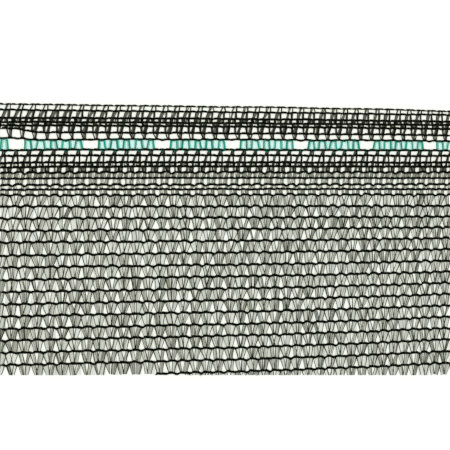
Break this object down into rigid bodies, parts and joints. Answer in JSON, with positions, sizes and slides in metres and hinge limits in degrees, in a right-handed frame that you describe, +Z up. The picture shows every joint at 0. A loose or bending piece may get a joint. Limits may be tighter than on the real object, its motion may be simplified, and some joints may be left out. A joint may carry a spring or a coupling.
{
  "type": "shade cloth",
  "caption": "Cut length of knitted shade netting lying flat, with a reinforced selvedge and a row of open eyelets between two dense bands.",
  "frame": {"origin": "under the middle of the flat cloth, on the surface it lies on", "axes": "+X along the selvedge and the chain wales, +Y in the cloth from the body of the net to the selvedge edge, +Z up out of the cloth"},
  "size_m": [0.2492, 0.1486, 0.0015],
  "materials": {
    "black_yarn": "drawn black polyethylene yarn, satin",
    "teal_tape": "slit teal film tape, translucent",
    "grey_tape": "slit grey-olive film tape, translucent"
  },
  "bodies": {
    "root": {"outer_band": "black_yarn", "eyelet_row": "teal_tape", "inner_band": "black_yarn", "ground_net": "grey_tape"}
  },
  "joints": []
}
